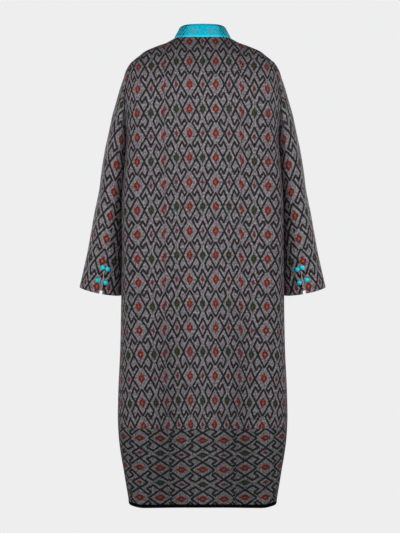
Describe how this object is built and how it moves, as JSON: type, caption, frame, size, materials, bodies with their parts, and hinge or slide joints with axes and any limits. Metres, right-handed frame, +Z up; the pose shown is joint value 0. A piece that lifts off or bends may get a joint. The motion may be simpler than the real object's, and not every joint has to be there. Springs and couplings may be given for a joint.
{
  "type": "uzbek chapan robe",
  "caption": "Ankle-length Central Asian chapan robe with long two-piece sleeves, stand collar, turned hem band and cuff buttons, hollow as worn.",
  "frame": {"origin": "middle of the neck opening, level with the neck points, where the wearer's neck and shoulders hold the robe", "axes": "+Z up, -Y to the wearer's front, +X to the wearer's left"},
  "size_m": [0.697, 0.2842, 1.319],
  "materials": {
    "ikat_cloth": "woven ikat, grey with black lattice and red and green diamonds",
    "hem_cloth": "woven ikat turned sideways, slightly darker",
    "collar_cloth": "turquoise cloth with faint smudges",
    "binding": "black folded tape",
    "button": "glossy turquoise dome"
  },
  "bodies": {
    "root": {"back_center": "ikat_cloth", "back_side_left": "ikat_cloth", "back_side_right": "ikat_cloth", "front_left": "ikat_cloth", "front_right": "ikat_cloth", "sleeve_left_top": "ikat_cloth", "sleeve_left_under": "ikat_cloth", "sleeve_right_top": "ikat_cloth", "sleeve_right_under": "ikat_cloth", "collar": "collar_cloth", "hem_band_back": "hem_cloth", "hem_band_side_left": "hem_cloth", "hem_band_side_right": "hem_cloth", "hem_band_front_left": "hem_cloth", "hem_band_front_right": "hem_cloth", "hem_binding": "binding", "button_left_1": "button", "button_left_2": "button", "button_left_3": "button", "button_left_4": "button", "button_right_1": "button", "button_right_2": "button", "button_right_3": "button", "button_right_4": "button"}
  },
  "joints": []
}
